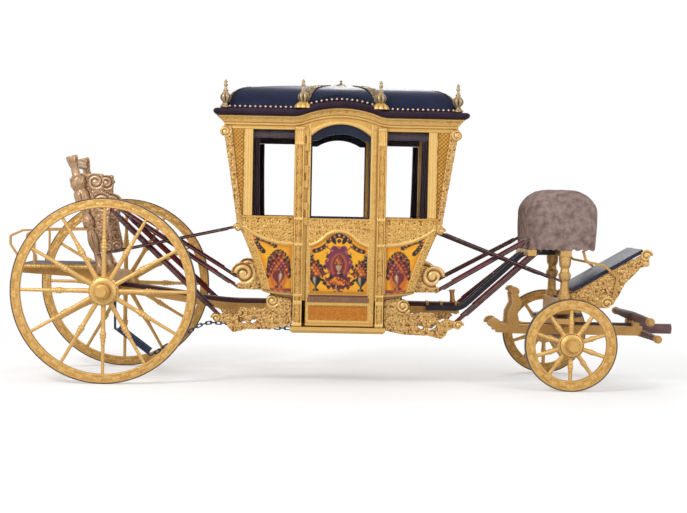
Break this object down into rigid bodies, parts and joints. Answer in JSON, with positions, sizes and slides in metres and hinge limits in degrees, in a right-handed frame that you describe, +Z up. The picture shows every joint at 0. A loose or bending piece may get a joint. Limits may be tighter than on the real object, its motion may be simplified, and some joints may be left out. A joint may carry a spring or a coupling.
{
  "type": "horse-drawn coach",
  "caption": "Gilded closed state coach slung on leather straps between high spoked rear wheels and a steering forecarriage with small front wheels, with hinged doors.",
  "frame": {"origin": "on the ground, on the centre line, midway between the rear grab rails and the pole's tip", "axes": "+X forward, +Y to the coach's left, +Z up"},
  "size_m": [6.54, 1.966, 2.968],
  "materials": {
    "gilt_wood": "burnished gilding over carved wood, brown in the hollows",
    "gilt_aged": "darkened gilding on the roof carving",
    "painted_panel": "varnished panel painted with foliage on a gold ground",
    "wheel_gilt": "gilt painted felloes, spokes and nave",
    "iron": "worn dark iron",
    "roof_leather": "black-blue polished leather",
    "cornice_dark": "dark varnished moulding",
    "sash_dark": "dark blue-black painted sash",
    "glass": "old plate glass",
    "upholstery": "worn crimson velvet",
    "curtain": "grey-brown silk",
    "strap_leather": "black and dark red harness leather",
    "hammercloth": "worn brown-mauve cloth",
    "footboard_leather": "dark blue-black leather over board",
    "bare_wood": "dark oiled timber"
  },
  "bodies": {
    "carriage": {"rear_axle": "iron", "body_side_right": "painted_panel", "body_side_left": "painted_panel", "body_front_wall": "painted_panel", "body_rear_wall": "painted_panel", "body_floor": "bare_wood", "benches": "bare_wood", "seat_cushions": "upholstery", "back_cushions": "upholstery", "curtains": "curtain", "front_sash": "sash_dark", "front_glass": "glass", "side_mouldings": "gilt_wood", "cornice_fascia": "gilt_wood", "cornice_crown": "cornice_dark", "roof": "roof_leather", "roof_ribs": "gilt_aged", "roof_finials": "gilt_aged", "corner_consoles": "gilt_wood", "corner_shells": "gilt_wood", "body_brackets": "gilt_wood", "perch": "gilt_wood", "swan_necks": "iron", "rear_bolster": "gilt_wood", "rear_standards": "gilt_wood", "rear_scrolls": "gilt_wood", "grab_rails": "iron", "front_bolster": "gilt_wood", "kingpin": "iron", "front_standards": "gilt_wood", "driver_seat_cover": "hammercloth", "footboard_front": "footboard_leather", "footboard_cheeks": "gilt_wood", "seat_irons": "gilt_wood", "drag_shoe": "iron", "quarter_glass": "glass", "door_surrounds": "gilt_wood", "footmens_board": "footboard_leather", "suspension_straps": "strap_leather"},
    "forecarriage": {"front_axle": "iron", "futchells": "gilt_wood", "wheel_plate": "iron", "draught_bars": "gilt_wood", "pole_stub": "gilt_wood"},
    "rear_wheel_right_turning": {"rear_wheel_right": "wheel_gilt", "rear_tyre_right": "iron"},
    "rear_wheel_left_turning": {"rear_wheel_left": "wheel_gilt", "rear_tyre_left": "iron"},
    "front_wheel_right_turning": {"front_wheel_right": "wheel_gilt", "front_tyre_right": "iron"},
    "front_wheel_left_turning": {"front_wheel_left": "wheel_gilt", "front_tyre_left": "iron"},
    "door_right_leaf": {"door_right": "painted_panel", "door_sash_right": "sash_dark", "door_glass_right": "glass"},
    "door_left_leaf": {"door_left": "painted_panel", "door_sash_left": "sash_dark", "door_glass_left": "glass"}
  },
  "joints": [
    {"name": "rear_wheel_right", "type": "hinge", "parent": "carriage", "child": "rear_wheel_right_turning", "pos_m": [-2.3, -0.8, 0.875], "axis": [0, 1, 0], "continuous": true},
    {"name": "rear_wheel_left", "type": "hinge", "parent": "carriage", "child": "rear_wheel_left_turning", "pos_m": [-2.3, 0.8, 0.875], "axis": [0, 1, 0], "continuous": true},
    {"name": "steering", "type": "hinge", "parent": "carriage", "child": "forecarriage", "pos_m": [2.125, 0, 0.66], "axis": [0, 0, 1], "range_deg": [-35, 35]},
    {"name": "front_wheel_right", "type": "hinge", "parent": "forecarriage", "child": "front_wheel_right_turning", "pos_m": [2.125, -0.8, 0.44], "axis": [0, 1, 0], "continuous": true},
    {"name": "front_wheel_left", "type": "hinge", "parent": "forecarriage", "child": "front_wheel_left_turning", "pos_m": [2.125, 0.8, 0.44], "axis": [0, 1, 0], "continuous": true},
    {"name": "door_right", "type": "hinge", "parent": "carriage", "child": "door_right_leaf", "pos_m": [-0.405, -0.726, 1.99], "axis": [0, 0, -1], "range_deg": [0, 80]},
    {"name": "door_left", "type": "hinge", "parent": "carriage", "child": "door_left_leaf", "pos_m": [-0.405, 0.726, 1.99], "axis": [0, 0, 1], "range_deg": [0, 80]}
  ]
}
